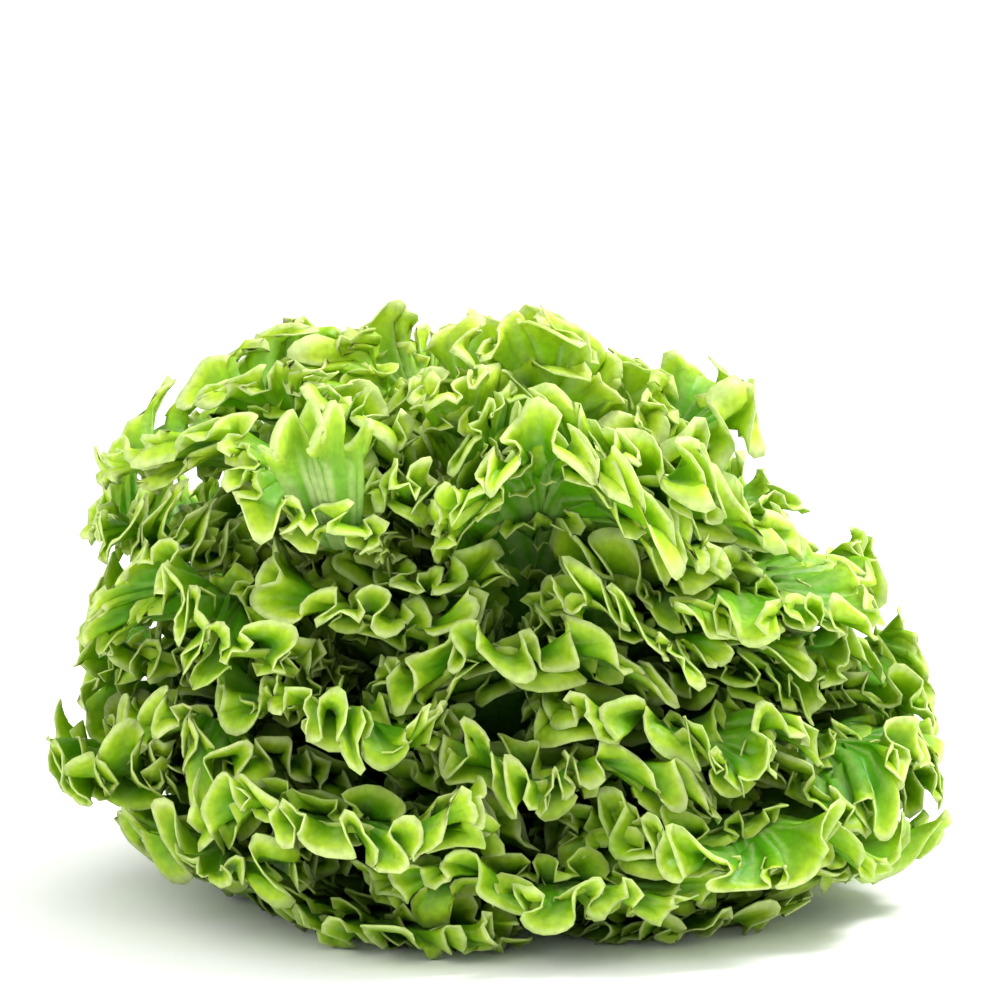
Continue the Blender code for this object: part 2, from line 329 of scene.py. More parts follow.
@dataclass(frozen=True)
class Head:
    """The form of the whole head: one map that bends and curls all the leaves together."""

    crown_height: float = 0.028
    depth: float = 0.146
    under_depth: float = 0.038
    front_angle: tuple[float, ...] = (
        -180, -125, -100, -92, -83, -75, -62, -53, -45, -39, -34, -27, -21, -9, 0,
        11, 25, 31, 35, 40, 52, 58, 65, 79, 86, 98, 125, 180)
    front_reach: tuple[float, ...] = (
        0.084, 0.106, 0.128, 0.140, 0.155, 0.168, 0.178, 0.182, 0.195, 0.195, 0.186, 0.184,
        0.172, 0.181, 0.191, 0.191, 0.187, 0.181, 0.168, 0.155, 0.152, 0.160, 0.158, 0.160,
        0.166, 0.154, 0.106, 0.084)
    rings: tuple[tuple[int, float], ...] = (
        (2, 10), (3, 70), (3, 15), (4, -90), (4, -135), (4, -163), (4, -118), (5, -127),
        (5, -163), (5, -127), (5, -158), (5, -123), (5, -159), (5, -121))
    heart_rings: int = 3
    middle_rings: int = 5
    short_leaves: dict[int, float] = field(
        default_factory=lambda: {21: 0.76, 24: 0.76, 25: 0.82, 26: 0.86})  # they bare those behind
    leaf_start: float = 0.0225
    drawn_in: float = 0.982      # room for the fine frill within the solids' reach
    floor_angle: float = math.radians(100.8)
    first_layer: float = 0.03
    ripple_angle: float = math.radians(4.0)
    droop_angle: float = math.radians(15)
    right_front: float = math.radians(-42)
    right_droop: float = math.radians(18)
    left_front: float = math.radians(-155)
    left_curl: float = math.radians(26)
    leaf_gap: float = 0.0022
    stirring: float = 0.010      # the solids' rings keep their spacing

    def reach(self, phi: np.ndarray, alpha: np.ndarray) -> np.ndarray:
        """Distance from the crown's middle to the outside of the head.

        Args:
            phi: Angle round the stem.
            alpha: Angle from straight up.

        Returns:
            The distance in metres.
        """
        ex, ey, ez = np.sin(alpha) * np.cos(phi), np.sin(alpha) * np.sin(phi), np.cos(alpha)
        front = np.interp(np.degrees(np.arctan2(ex, ez)), self.front_angle, self.front_reach)
        under = np.where(ez < 0, (ez / self.under_depth) ** 2, 0)
        return 1 / np.sqrt((ex ** 2 + ez ** 2) / front ** 2 + (ey / self.depth) ** 2 + under)

    def lean(self, phi: np.ndarray, layer: np.ndarray, out: np.ndarray) -> np.ndarray:
        """Tilt and sag of the rings, so that they aren't level.

        Args:
            phi: Angle round the stem.
            layer: Layer, as place() takes it.
            out: Share of the way out.

        Returns:
            Share of the layers by which they move.
        """
        sway = (0.50 * np.sin(2 * phi + 0.6 + 2.0 * layer)
                + 0.34 * np.sin(3 * phi + 2.1 - 2.5 * layer)
                + 0.26 * np.sin(5 * phi + 4.0 + 2.5 * layer))
        return 0.075 * np.sin(math.pi * layer) * smooth(out, 0.15, 0.9) * sway

    def swirl(self, phi: np.ndarray, layer: np.ndarray, out: np.ndarray) -> np.ndarray:
        """Curl of the leaves round the stem on their way out.

        Args:
            phi: Angle round the stem.
            layer: Layer, as place() takes it.
            out: Share of the way out.

        Returns:
            The angle.
        """
        near = np.exp(4 * (np.cos(phi - self.left_front) - 1))
        slow = 0.10 * np.sin(2 * phi + 1.0 + 4 * layer) + 0.06 * np.sin(3 * phi + 3.0 - 5 * layer)
        return (self.left_curl * near + slow) * smooth(out, 0.25, 1.0)

    def ripple(self, phi: np.ndarray, layer: np.ndarray, out: np.ndarray) -> np.ndarray:
        """Wide waves that neighbouring leaves share.

        Args:
            phi: Angle round the stem.
            layer: Layer, as place() takes it.
            out: Share of the way out.

        Returns:
            The angle by which they move.
        """
        low = smooth(layer, 0.25, 0.55)
        wide = np.sin(14 * phi + 3.0 * layer + 1.0) + 0.6 * np.sin(21 * phi - 3.5 * layer + 4.0)
        tight = np.sin(7 * phi + 3.0 * layer + 2.0) + 0.6 * np.sin(10 * phi - 3.5 * layer + 0.5)
        tight = tight * smooth(layer, 0.0, 0.2)
        ends = smooth(layer, 0.0, 0.12) * (1 - smooth(layer, 0.62, 1.0))
        edge = smooth(out, 0.47, 1.0) ** 1.5
        return self.ripple_angle * ends * edge * (low * wide + (1 - low) * tight)

    def stir(self, phi: np.ndarray, layer: np.ndarray, out: np.ndarray) -> np.ndarray:
        """Moves neighbouring low rings apart and together, so that no level rows show.

        Args:
            phi: Angle round the stem.
            layer: Layer, as place() takes it.
            out: Share of the way out.

        Returns:
            Share of the layers by which they move.
        """
        wave = np.sin(11 * phi + 25 * layer + 1.0) + 0.6 * np.sin(17 * phi - 31 * layer + 4.0)
        low = smooth(layer, 0.3, 0.55) * smooth(1 - layer, 0, 0.15)
        return self.stirring * low * smooth(out, 0.45, 1.0) * wave

    def bend(self, layer: np.ndarray) -> np.ndarray:
        """Share of the droop: none on the axis or on the floor, full a third of the way."""
        return smooth(layer, 0, 0.35) * (1 - layer) / 0.65

    def droop(self, phi: np.ndarray, layer: np.ndarray, out: np.ndarray | float) -> np.ndarray:
        """Bend of the leaves outwards near their tips, most at the right front.

        Args:
            phi: Angle round the stem.
            layer: Layer, as place() takes it.
            out: Share of the way out.

        Returns:
            The angle.
        """
        near = np.exp(7 * (np.cos(phi - self.right_front) - 1))
        angle = self.droop_angle + self.right_droop * near
        return angle * self.bend(layer) * smooth(out, 0.47, 1.08)

    def place(self, phi: np.ndarray, out: np.ndarray, layer: np.ndarray) -> np.ndarray:
        """Point of the head.

        Args:
            phi: Angle round the stem.
            out: Share of the way out from the crown.
            layer: 0 on the axis, 1 on the surface that the head stands on.

        Returns:
            The points, with the stem's axis at the origin.
        """
        phi = phi + self.swirl(phi, layer, out)
        layer = layer + self.lean(phi, layer, out) + self.stir(phi, layer, out)
        reach = self.reach(phi, layer * self.floor_angle + self.droop(phi, layer, 1.0))
        rho = self.leaf_start + out * (self.drawn_in * reach - self.leaf_start)
        floor = np.arccos(np.clip(-self.crown_height / rho, -0.47, 1))
        alpha = layer * floor + self.droop(phi, layer, out) + self.ripple(phi, layer, out)
        x = rho * np.sin(alpha) * np.cos(phi)
        y = rho * np.sin(alpha) * np.sin(phi)
        return np.stack([x, y, self.crown_height + rho * np.cos(alpha)], -1)

    def ring_layers(self) -> np.ndarray:
        """Spaces the rings so that their drooping edges are evenly apart.

        Returns:
            The layers where they begin and end.
        """
        layer = np.linspace(0, 1, 400)
        bent = layer + self.droop_angle / self.floor_angle * self.bend(layer)
        return np.interp(np.linspace(self.first_layer, 1, len(self.rings) + 1), bent, layer)

    def leaves(self) -> list["LeafForm"]:
        """Plans all leaves, from the heart outwards, with the same draws as their solids.

        Returns:
            The leaves in the order of their numbers.
        """
        draw = random.Random(5)
        leaves: list[LeafForm] = []
        layers = self.ring_layers()
        for ring, (count, turn) in enumerate(self.rings):
            ends = layers[ring:ring + 2]
            radius = max(0.105 * math.sin(ends.mean() * self.floor_angle), 0.008)
            half_angle = math.pi / count - self.leaf_gap / 2 / radius
            for place_in_ring in range(count):
                number = len(leaves) + 1
                phi = math.radians(turn) + 2 * math.pi * place_in_ring / count
                tip = self.short_leaves.get(number, 1 - draw.uniform(0.0, 0.16))
                leaves.append(LeafForm(self, number, ring, ends, phi, half_angle, tip))
        return leaves


class LeafForm:
    """One leaf's place in the head, its outline, its veins and the folds of its edge."""

    stalk_half_width = 0.0075
    fold_pitch = 0.0102
    usual_fold_depth = 0.052
    dip = 0.20
    mean_length = 0.125
    most_lift = 1.8              # how far frills may reach in among the next leaf's, in rooms
    flatter_leaves = {17: 0.60}
    longer_leaves = {5: 1.04, 10: 1.05, 50: 1.04, 55: 1.03}
    tighter_leaves = {7: 0.80, 12: 0.76, 13: 0.80, 17: 0.82, 29: 0.80, 30: 0.86}

    def __init__(self, head: Head, number: int, ring: int, layers: np.ndarray, phi: float,
                 half_angle: float, tip: float) -> None:
        """Lays the leaf out.

        Args:
            head: The head that the leaf belongs to.
            number: The leaf's number, from 1 at the heart.
            ring: Its ring, from 0.
            layers: Where its ring begins and ends.
            phi: Its direction round the stem.
            half_angle: Half of the sector that it fills.
            tip: Share of the way out that its tip reaches.
        """
        self.head, self.number, self.ring = head, number, ring
        self.phi, self.half_angle, self.tip = phi, half_angle, tip
        self.layer = (layers[1] + layers[0]) / 2
        self.half_layer = (layers[1] - layers[0]) / 2
        self.fold_depth = self.usual_fold_depth * self.flatter_leaves.get(number, 1)
        self.draw = random.Random(400 + number)
        self.measure()
        self.fold()

    @property
    def age(self) -> Age:
        """The leaf's age by its ring."""
        if self.ring < self.head.heart_rings:
            return Age.HEART
        young = self.ring < self.head.heart_rings + self.head.middle_rings
        return Age.MIDDLE if young else Age.OUTER

    def outline(self, way: np.ndarray) -> tuple[np.ndarray, np.ndarray]:
        """One half of the edge.

        Args:
            way: From 0 at the stalk to 1 at the tip.

        Returns:
            Side share and out share.
        """
        lower = np.clip(way / 0.5, 0, 1)
        ring_radius = self.head.leaf_start * math.sin(self.layer * self.head.floor_angle)
        stalk = min(0.72, self.stalk_half_width / (ring_radius * self.half_angle))
        widest = 0.60 * self.tip
        low_side = stalk + (1 - stalk) * np.sin(math.pi / 2 * lower) ** 0.85
        turn = np.clip((way - 0.5) / 0.5, 0, 1) * math.pi / 2
        high_side = np.cos(turn) ** 0.62
        high_out = widest + (self.tip - widest) * np.sin(turn) ** 0.62
        upper = way > 0.5
        return np.where(upper, high_side, low_side), np.where(upper, high_out, widest * lower)

    def measure(self) -> None:
        """Fills the tables of the edge and of the veins that end there."""
        side, out = self.outline(np.linspace(0, 1, 2001))
        points = self.head.place(self.phi + side * self.half_angle, out, self.layer)
        steps = np.linalg.norm(np.diff(points, axis=0), axis=1)
        run = added_up(steps)
        self.edge_length = run[-1]
        self.share = np.linspace(0, 1, 400)
        self.edge_side = np.interp(self.share * run[-1], run, side)
        self.edge_out = np.interp(self.share * run[-1], run, out)
        self.rib_out = 0.80 * self.tip * self.share ** 1.1
        along = np.linspace(0, 1, 25)
        side, out = self.vein(self.share[:, None], along[None, :])
        points = self.head.place(self.phi + side * self.half_angle, out, self.layer)
        self.vein_length = np.linalg.norm(np.diff(points, axis=1), axis=2).sum(axis=1)

    def vein(self, share: np.ndarray, along: np.ndarray) -> tuple[np.ndarray, np.ndarray]:
        """Point on a vein.

        Args:
            share: Share of the edge where the vein ends.
            along: Share of the way along it.

        Returns:
            Side share and out share.
        """
        side = np.interp(share, self.share, self.edge_side)
        out = np.interp(share, self.share, self.edge_out)
        root = np.interp(share, self.share, self.rib_out)
        bend_side, bend_out = 0.42 * side, root + 0.72 * (out - root)
        back = 1 - along
        vein_side = 2 * back * along * bend_side + along ** 2 * side
        vein_out = back ** 2 * root + 2 * back * along * bend_out + along ** 2 * out
        return vein_side, vein_out

    def fold(self) -> None:
        """Makes the solid's own draws for its folds, which end with the phases of the slow dips."""
        count = max(8, round(2 * self.edge_length / self.fold_pitch))
        for _ in range(3 * count):
            self.draw.random()
        self.dip_phase = [self.draw.uniform(0, 2 * math.pi) for _ in range(2)]

    def length_at(self, at: np.ndarray) -> np.ndarray:
        """Length of the veins to the frilled edge, with the edge's slow dips.

        Args:
            at: Places of the veins' ends on the edge, from -1 to 1.

        Returns:
            The lengths in metres.
        """
        share = 1 - np.abs(at)
        wave = 11 * at + self.dip_phase[0] + 1.2 * np.sin(4 * at + self.dip_phase[1])
        dip = self.dip * (0.5 + 0.5 * np.sin(wave)) ** 2 * smooth(share, 0.2, 0.5)
        return np.interp(share, self.share, self.vein_length) * (1 - dip)

    def spot(self, at: np.ndarray, along: np.ndarray,
             scale: float) -> tuple[np.ndarray, np.ndarray]:
        """Point on the leaf, or on a lobe that is a smaller leaf on it.

        Args:
            at: Place of the vein's end on the edge, from -1 to 1.
            along: Share of the vein's length.
            scale: Length, as a share of the whole leaf's.

        Returns:
            Side share and out share.
        """
        share = 1 - np.abs(at)
        whole = np.interp(share, self.share, self.vein_length)
        side, out = self.vein(share, along * self.length_at(at) / whole)
        return side, out * scale * self.longer_leaves.get(self.number, 1.0)

    def lay(self, at: np.ndarray, along: np.ndarray, raised: np.ndarray | float,
            scale: float) -> np.ndarray:
        """Lays points on the leaf.

        Args:
            at: Place of the vein's end on the edge, from -1 to 1.
            along: Share of the vein's length.
            raised: Height over the unfolded blade, in metres.
            scale: Length, as a share of the whole leaf's.

        Returns:
            The points.
        """
        side, out = self.spot(at, along, scale)
        phi = self.phi + np.sign(at) * side * self.half_angle
        most = self.most_lift
        lifted = np.clip(raised / self.room(at, along, scale), -most, most)
        return self.head.place(phi, out, self.layer + lifted * self.half_layer)

    def room(self, at: np.ndarray, along: np.ndarray, scale: float) -> np.ndarray:
        """Height that the leaf has to itself on each side of its blade.

        Args:
            at: Place of the vein's end on the edge, from -1 to 1.
            along: Share of the vein's length.
            scale: Length, as a share of the whole leaf's.

        Returns:
            The height in metres.
        """
        out = self.spot(at, along, scale)[1]
        distance = self.head.leaf_start + out * self.mean_length
        return distance * self.half_layer * self.head.floor_angle


@dataclass(frozen=True)
class Frill:
    """One frilled sheet of a leaf: its blade out to the edge, or a lobe on one of its faces."""

    scale: float                 # length, as a share of the leaf's
    depth: float                 # how far in from the edge its folds begin
    middle: float                # middle of its folds, as a share of the leaf's half room
    swell: float                 # height of its folds, the same way
    rows: tuple[float, ...]      # rows of points through the frill
    reach: float = 1.0           # how far down the leaf's sides it goes
    inner: tuple[float, ...] = ()

    @property
    def spacing(self) -> float:
        """Distance between the columns of points along the unfolded edge, in metres."""
        return 0.00118 if self.inner else 0.00158

    def kept_step(self, row: np.ndarray) -> np.ndarray:
        """Says which columns go on down to a row.

        Args:
            row: Rows of points, from 0 at the root.

        Returns:
            Every how many columns one goes on: few in the plain blade, half of them in the folds.
        """
        plain = len(self.inner)
        return np.where(row <= plain, 6 if plain else 2, np.where(row <= plain + 2, 2, 1))


LOBE_ROWS = (0.0, 0.45, 0.78, 1.0)
BLADE_FRILL = Frill(1.0, 0.048, 0.0, 1.0, (0.0, 0.4, 0.8, 0.87, 0.935, 1.0),
                    inner=(0.0, 0.06, 0.2, 0.6))
LOBES = (
    Frill(0.93, 0.021, 0.42, 0.70, LOBE_ROWS, 0.92),
    Frill(0.84, 0.025, -0.42, 0.70, LOBE_ROWS, 0.91),
    Frill(0.75, 0.022, 0.44, 0.66, LOBE_ROWS, 0.89),
    Frill(0.65, 0.024, -0.44, 0.66, LOBE_ROWS, 0.86),
    Frill(0.57, 0.020, 0.44, 0.64, LOBE_ROWS, 0.82),
    Frill(0.42, 0.015, 0.44, 0.62, LOBE_ROWS, 0.78),
)


@dataclass
class VeinFan:
    """Bare part of a blade that stands up among the frills, its pale veins spread like a fan."""

    root: tuple[float, float, float] = (-0.050, -0.100, 0.126)
    height: float = 0.045
    half_width: float = 0.016
    foot: float = 0.0045         # half of its width at the bottom
    lean: float = -0.009         # how far its top stands to the left
    back: float = 0.013          # and towards the stem
    sunk: float = 0.024          # how far its foot goes in among the frills
    veins: int = 7
    vein_height: float = 0.0007
    frill_height: float = 0.008
    rows: int = 26
    columns: int = 121

    def points(self) -> tuple[np.ndarray, dict[str, np.ndarray]]:
        """Works out the fan.

        Returns:
            Points by row and column, and the values that the finish reads.
        """
        up, across = np.linspace(0, 1, self.rows), np.linspace(-1, 1, self.columns)
        up, across = np.meshgrid(up, across, indexing="ij")
        width = self.foot + (self.half_width - self.foot) * up ** 0.8
        frill = smooth(up, 0.58, 1.0)
        phase = 2.3 * math.pi * across + 0.8 * np.sin(4 * across)
        wave = np.sin(phase) + 0.30 * np.sin(2.7 * phase + 1.0)
        vein = self.veins * (across + 0.16 * np.sin(5 * across + 1.0))
        ridge = np.abs(np.cos(math.pi / 2 * vein)) ** 4 * (1 - smooth(up, 0.5, 0.85))
        swing = across + 0.20 * frill * np.sin(2 * phase + 0.5)
        x = self.root[0] + self.lean * up + width * swing
        y = self.root[1] + width * 0.45 * across ** 2 + self.back * up - 0.005 * up ** 2
        y = y - self.vein_height * ridge + self.sunk * (1 - up) ** 3
        y = y - self.frill_height * frill * wave - 0.006 * frill ** 2 * np.abs(wave)
        z = self.root[2] + self.height * up * (1 - 0.16 * (across - 0.2) ** 2)
        z = z + frill * (0.0045 * np.sin(1.7 * phase + 2.0) - 0.007 * frill * np.abs(wave))
        points = np.stack([x, y, z], -1)
        values = {
            "edge": 0.66 + 0.34 * up ** 2,
            # Painted shade: darker towards the foot, where it sinks in among the frills
            "depth": 0.45 + 0.54 * up ** 0.6,
            "vein": 0.12 + 0.75 * ridge * (1 - 0.5 * smooth(across, 0.2, 1.0)),
            "tone": np.full(up.shape, 0.8),
            "thick": np.full(up.shape, 0.0),
        }
        return points, values


@dataclass
class FrilledLeaf:
    """The finely frilled blade that stands for one leaf's solid."""

    form: LeafForm
    shift: np.ndarray
    pitch: float = 0.0102        # one fold, measured along the unfolded edge
    lobe_pitch: float = 0.0114
    lobe_rings: tuple[int, ...] = (13, 13, 13, 13, 7, 4)  # ring out to which each lobe is modelled
    tilts: dict[int, float] = field(default_factory=lambda: {17: 0.7, 29: -0.8, 40: 0.5, 49: -0.3})
    fan_leaf: int = 17           # the leaf with a bare fan of veins
    blade: float = 0.0006
    rib: float = 0.0022
    flare: float = 1.1           # how late on their way out the folds open
    swing: float = 0.42          # how far the folds loop past each other
    sway: float = 0.17           # slow rise and fall of the whole edge, as a share of the room
    lip: float = 0.0080          # width of the edge that curls outwards
    lip_turn: float = math.radians(100)
    scallop: float = 0.0020      # height of the scallops that each fold carries
    scallop_reach: float = 0.0012
    tooth: float = 0.0004        # height of the small teeth between them
    clear_floor: float = 0.0005
    edge_band: float = 0.007     # how softly the leaf keeps inside the solids' box
    beyond_box: float = 0.0015   # how far frills may stand out of it

    @property
    def name(self) -> str:
        """Name of the piece."""
        return f"frilled_{self.form.age.value}_{self.form.number:02d}"

    def folds(self, frill: Frill) -> tuple[np.ndarray, np.ndarray, np.ndarray, np.ndarray]:
        """Spaces the folds evenly along the edge, wider and narrower by chance.

        Args:
            frill: The sheet.

        Returns:
            By column: the fold's count, its place on the edge, its size and how far it reaches.
        """
        spots = np.linspace(-frill.reach, frill.reach, 1601)
        edge = self.form.lay(spots, np.ones(spots.shape), 0.0, frill.scale)
        run = added_up(np.linalg.norm(np.diff(edge, axis=0), axis=1))
        tight = self.form.tighter_leaves.get(self.form.number, 1.0)
        count = max(6, round(run[-1] / tight / (self.pitch if frill.inner else self.lobe_pitch)))
        draw = np.random.default_rng([self.form.number, round(100 * frill.scale)])
        widths = draw.uniform(0.5, 1.0, count) + draw.uniform(0.0, 1.0, count) ** 3
        ends = added_up(widths) / widths.sum()
        even = np.linspace(0, 1, round(run[-1] / frill.spacing / tight ** 0.7) + 1)
        fold = np.interp(even, ends, np.arange(count + 1))
        at = np.interp(even * run[-1], run, spots)
        sizes = draw.uniform(0.62, 1.25, count) * np.clip(widths, 0.6, 1.15)
        size = np.interp(fold, np.arange(count) + 0.5, sizes)
        size = size * smooth(1 - np.abs(at) / frill.reach, 0.0, 0.09)
        grow = np.interp(fold, np.arange(count) + 0.5, draw.uniform(-0.011, 0.004, count))
        return fold, at, size, grow * smooth(1 - np.abs(at), 0.1, 0.3)

    def points(self, frill: Frill) -> tuple[np.ndarray, dict[str, np.ndarray]]:
        """Works out one sheet.

        Args:
            frill: The sheet.

        Returns:
            Points by row and column, and the values that the finish reads.
        """
        form = self.form
        fold, at, size, grow = self.folds(frill)
        length = form.length_at(at) * frill.scale
        depth = np.minimum(frill.depth * form.fold_depth / form.usual_fold_depth, 0.66 * length)
        start = 1 - depth / length
        rim = 1 + grow / length
        x = np.stack([share * start for share in frill.inner]
                     + [start + row * (rim - start) for row in frill.rows])
        z = np.clip((x - start) / (rim - start), 0, 1)
        at = np.broadcast_to(at, x.shape).copy()
        if frill.inner:
            # Along the rib both halves share their points
            at[0] = np.linspace(-1, 1, x.shape[1])
        wave = np.sin(math.pi * fold) * np.clip(size, 0, 1.35)
        room = form.room(at, x, frill.scale)
        lip = np.minimum(self.lip, np.minimum(1.1 * room, 0.45 * depth))
        turned = self.lip_turn * (0.62 + 0.38 * np.sin(1.7 * fold))
        turned = turned * np.minimum(np.abs(wave) ** 0.7, 1) + 0.2
        curl = np.clip((z * depth - depth + lip) / lip, 0, 1)
        sideways = lip * (1 - np.cos(turned * curl)) / turned
        most = lip * (1 - np.cos(turned)) / turned
        short = lip * (curl - np.sin(turned * curl) / turned)
        wall = np.maximum(0.94 * frill.swell * room - most, 0.3 * frill.swell * room)
        raised = wall * wave * z ** self.flare + np.sign(wave) * np.abs(wave) ** 0.5 * sideways
        sway = np.sin(0.9 * fold + form.number) + np.sin(0.53 * fold + 2.3 * form.number)
        sway = self.sway * sway + self.tilts.get(form.number, 0.0)
        raised = raised + room * sway * z * smooth(1 - np.abs(at), 0.05, 0.3)
        if not frill.inner:
            lifted = smooth(z, 0.0, 0.75)
            raised = raised + frill.middle * room * lifted
            raised = raised + self.base_height(at[0], start, frill.scale) * (1 - lifted)
        step = np.gradient(at[-1], fold)
        at = at - self.swing * step * np.sin(2 * math.pi * fold) * np.clip(size, 0, 1) * z ** 1.3
        at = np.clip(at, -1, 1)
        points = form.lay(at, x - short / length, raised, frill.scale)
        share = 1 - np.abs(at)
        points = self.ruffle(points, math.pi * fold, z, share)
        points = self.keep_inside(points + self.shift)
        from_crown = np.linalg.norm(points - self.shift - [0, 0, form.head.crown_height], axis=-1)
        column, step = np.arange(len(fold)), int(frill.kept_step(np.array(0)))
        middles = np.interp(np.arange(int(fold[-1])) + 0.5, fold, column)
        on_vein = np.isin(column, np.rint(middles / step).astype(int) * step)
        on_vein = np.broadcast_to(on_vein.astype(float), x.shape)
        edge = 1 - (1 - z) * depth / 0.06
        values = {
            "edge": np.minimum(edge, x * 4) if frill.inner else 0.98 * edge,
            # Painted shade: darkest near the crown, deep in the head, and at the roots of each
            # sheet's folds
            "depth": smooth(from_crown, 0.055, 0.145) * (0.70 + 0.30 * z ** 0.8),
            "vein": on_vein * np.clip(1 - z, 0, 1) ** 0.6 * 0.5,
            "tone": np.full(x.shape, form.draw.uniform(0.4, 1.2)),
            "thick": 0.25 * on_vein * (1 - z) ** 1.5,
        }
        if frill.inner:
            values["thick"] = np.maximum(values["thick"], (1 - x / 0.12).clip(0, 1) * (1 - share))
        return points, values

    def base_height(self, at: np.ndarray, along: np.ndarray, scale: float) -> np.ndarray:
        """Height of the folded blade where a lobe is rooted.

        Args:
            at: Places on the edge.
            along: Share of the lobe's veins.
            scale: Length, as a share of the whole leaf's.

        Returns:
            The height in metres.
        """
        fold, spots, size, _ = self.folds(BLADE_FRILL)
        length = self.form.length_at(at)
        depth = np.minimum(BLADE_FRILL.depth, 0.66 * length) / length
        z = np.clip((along * scale - 1 + depth) / depth, 0, 1)
        room = self.form.room(at, along, scale)
        return 0.5 * room * z ** self.flare * np.interp(at, spots, np.sin(math.pi * fold) * size)

    def ruffle(self, points: np.ndarray, turn: np.ndarray, z: np.ndarray,
               share: np.ndarray) -> np.ndarray:
        """Adds the scallops and small teeth of the edge.

        Args:
            points: The folded blade.
            turn: Phase of the folds by column.
            z: Share of the way through the frill.
            share: Share of the way round the edge, from the stalk to the tip.

        Returns:
            The ruffled points.
        """
        draw = np.random.default_rng(self.form.number)
        a, b, c, d, e = draw.uniform(0, 2 * math.pi, 5)
        scallop = 2.2 * turn + a + 2.2 * np.sin(0.73 * turn + b)
        tooth = 3.9 * turn + c + 1.8 * np.sin(1.1 * turn + d)
        across, outward = np.gradient(points, axis=1), np.gradient(points, axis=0)
        normal = np.cross(across, outward)
        normal /= np.maximum(np.linalg.norm(normal, axis=-1, keepdims=True), 1e-12)
        outward /= np.maximum(np.linalg.norm(outward, axis=-1, keepdims=True), 1e-12)
        wide = np.clip((z - 0.45) / 0.55, 0, 1)
        thin = np.clip((z - 0.75) / 0.25, 0, 1)
        strength = smooth(share, 0.1, 0.4)
        strength = strength / self.form.tighter_leaves.get(self.form.number, 1.0) ** 1.5
        lift = (self.scallop * wide ** 1.5 * np.cos(scallop)
                + self.tooth * thin ** 1.5 * np.cos(tooth))
        grow = (self.scallop_reach * wide ** 2 * np.cos(scallop + e)
                + self.tooth * thin ** 2 * np.cos(tooth + e))
        lift, grow = (strength * lift)[..., None], (strength * grow)[..., None]
        return points + normal * lift + outward * grow

    def keep_inside(self, points: np.ndarray) -> np.ndarray:
        """Eases the points back where they would pass the solids' box.

        Args:
            points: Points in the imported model's frame.

        Returns:
            The eased points.
        """
        points = points.copy()
        band, beyond = self.edge_band, self.beyond_box
        for axis in range(3):
            high = CAD_HIGH[axis] + beyond - band
            over = np.maximum(points[..., axis] - high, 0)
            points[..., axis] += band * np.tanh(over / band) - over
            if axis < 2:
                low = CAD_LOW[axis] - beyond + band
                under = np.maximum(low - points[..., axis], 0)
                points[..., axis] -= band * np.tanh(under / band) - under
        points[..., 2] = np.maximum(points[..., 2], self.clear_floor)
        return points

    def build(self, material: bpy.types.Material) -> bpy.types.Object:
        """Models the leaf.

        Args:
            material: Its finish.

        Returns:
            The finished piece.
        """
        # Between the low leaves nothing shows so far in
        shown = [lobe for lobe, ring in zip(LOBES, self.lobe_rings) if self.form.ring <= ring]
        frills = [BLADE_FRILL, *shown]
        sheets = [self.sheet(*self.points(frill), frill) for frill in frills]
        if self.form.number == self.fan_leaf:
            points, values = VeinFan().points()
            sheets.append(self.sheet(points + self.shift, values, None))
        bpy.ops.object.select_all(action="DESELECT")
        for sheet in sheets:
            sheet.select_set(True)
        bpy.context.view_layer.objects.active = sheets[0]
        bpy.ops.object.join()
        piece = bpy.context.object
        piece.name = piece.data.name = self.name
        bpy.ops.object.shade_smooth()
        piece.data.materials.append(material)
        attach(piece, "root")
        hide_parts(f"leaf_{self.form.number:02d}")
        return piece

    def sheet(self, points: np.ndarray, values: dict[str, np.ndarray],
              frill: Frill | None) -> bpy.types.Object:
        """Models one sheet and gives it its thickness.

        Args:
            points: Points by row and column.
            values: What the finish reads, by row and column.
            frill: The sheet's plan, if its columns can be thinned.

        Returns:
            The sheet as an object of its own.
        """
        rows, columns = points.shape[:2]
        bpy.ops.object.select_all(action="DESELECT")
        bpy.ops.mesh.primitive_grid_add(x_subdivisions=columns - 1, y_subdivisions=rows - 1, size=2)
        sheet = bpy.context.object
        mesh = sheet.data
        flat = points_of(mesh)
        column = np.rint((flat[:, 0] + 1) / 2 * (columns - 1)).astype(int)
        row = np.rint((flat[:, 1] + 1) / 2 * (rows - 1)).astype(int)
        mesh.vertices.foreach_set("co", points[row, column].astype(np.float32).ravel())
        for name in MESH_VALUES:
            layer = mesh.attributes.new(name, "FLOAT", "POINT")
            layer.data.foreach_set("value", values[name][row, column].astype(np.float32))
        group = sheet.vertex_groups.new(name="rib")
        weight = np.round(values["thick"][row, column], 2)
        for level in np.unique(weight[weight > 0]):
            group.add(np.flatnonzero(weight == level).tolist(), float(level), "REPLACE")
        if frill:
            self.thin_columns(mesh, row, column, frill)
        thick = sheet.modifiers.new("thickness", "SOLIDIFY")
        thick.thickness = self.rib
        thick.offset = 0
        thick.vertex_group = "rib"
        thick.thickness_vertex_group = self.blade / self.rib
        bpy.ops.object.modifier_apply(modifier=thick.name)
        return sheet

